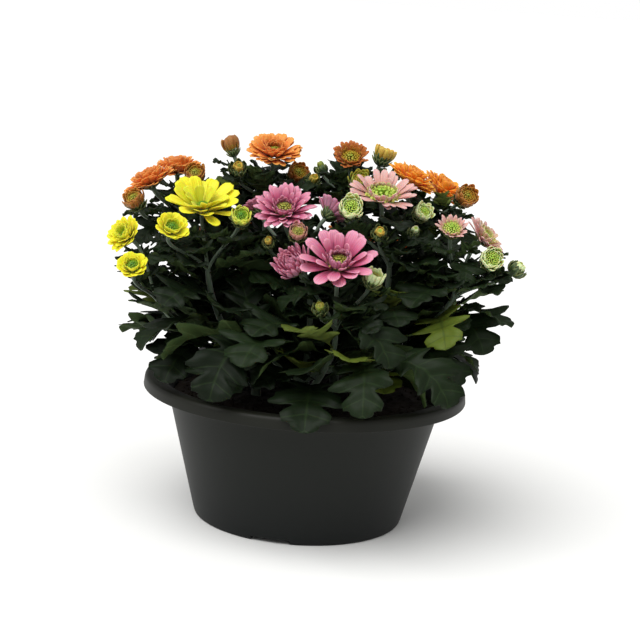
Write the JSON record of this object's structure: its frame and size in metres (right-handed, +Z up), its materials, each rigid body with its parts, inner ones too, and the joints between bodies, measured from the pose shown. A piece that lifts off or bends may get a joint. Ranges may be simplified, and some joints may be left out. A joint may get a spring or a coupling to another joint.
{
  "type": "pot chrysanthemum",
  "caption": "Mixed pot chrysanthemum with pink, yellow, apricot, bronze and pale pink blooms in a wide-rimmed black plastic bowl pot.",
  "frame": {"origin": "middle of the flat pad under the pot, on the ground it stands on", "axes": "+Z up along the pot's axis; -Y to the front of the planting; +X to its right as seen from the front"},
  "size_m": [0.2577, 0.2235, 0.238],
  "materials": {
    "pot plastic": "moulded black polypropylene, satin",
    "soil": "moist peat compost, crumbly and matt",
    "leaf green": "living leaf, finely hairy, matt",
    "eye yellow": "packed disc florets, matt",
    "pink petals": "ray florets, soft and matt",
    "yellow petals": "ray florets, soft and matt",
    "apricot petals": "ray florets, soft and matt",
    "bronze petals": "ray florets, soft and matt",
    "orange petals": "ray florets, soft and matt",
    "pale petals": "ray florets, soft and matt"
  },
  "bodies": {
    "root": {"bud_apricot_back_button": "apricot petals", "bud_apricot_button": "apricot petals", "bud_apricot_low": "apricot petals", "bud_apricot_small": "apricot petals", "bud_bronze_bud": "bronze petals", "bud_bronze_green": "bronze petals", "bud_orange_back_button": "orange petals", "bud_orange_button": "orange petals", "bud_pale_bud": "pale petals", "bud_pale_button": "pale petals", "bud_pale_button_right": "pale petals", "bud_pink_bud_right": "pink petals", "bud_pink_button": "pink petals", "bud_yellow_button": "yellow petals", "eye_apricot_back": "eye yellow", "eye_apricot_back_left": "eye yellow", "eye_apricot_far": "eye yellow", "eye_apricot_left": "eye yellow", "eye_apricot_top": "eye yellow", "eye_orange_back": "eye yellow", "eye_orange_back_right": "eye yellow", "eye_orange_middle": "eye yellow", "eye_orange_right": "eye yellow", "eye_pale_front": "eye yellow", "eye_pale_right": "eye yellow", "eye_pink_front": "eye yellow", "eye_pink_middle": "eye yellow", "eye_yellow_front": "eye yellow", "plant_apricot": "leaf green", "plant_bronze": "leaf green", "plant_pale": "leaf green", "plant_pink": "leaf green", "plant_yellow": "leaf green", "pot": "pot plastic", "rays_apricot_back": "apricot petals", "rays_apricot_back_left": "apricot petals", "rays_apricot_far": "apricot petals", "rays_apricot_half": "apricot petals", "rays_apricot_left": "apricot petals", "rays_apricot_top": "apricot petals", "rays_bronze_top": "bronze petals", "rays_orange_back": "orange petals", "rays_orange_back_right": "orange petals", "rays_orange_middle": "orange petals", "rays_orange_right": "orange petals", "rays_pale_cup": "pale petals", "rays_pale_front": "pale petals", "rays_pale_right": "pale petals", "rays_pink_behind": "pink petals", "rays_pink_far": "pink petals", "rays_pink_front": "pink petals", "rays_pink_middle": "pink petals", "rays_pink_side": "pink petals", "rays_yellow_cup": "yellow petals", "rays_yellow_front": "yellow petals", "rays_yellow_left": "yellow petals", "rays_yellow_low": "yellow petals", "soil": "soil"}
  },
  "joints": []
}
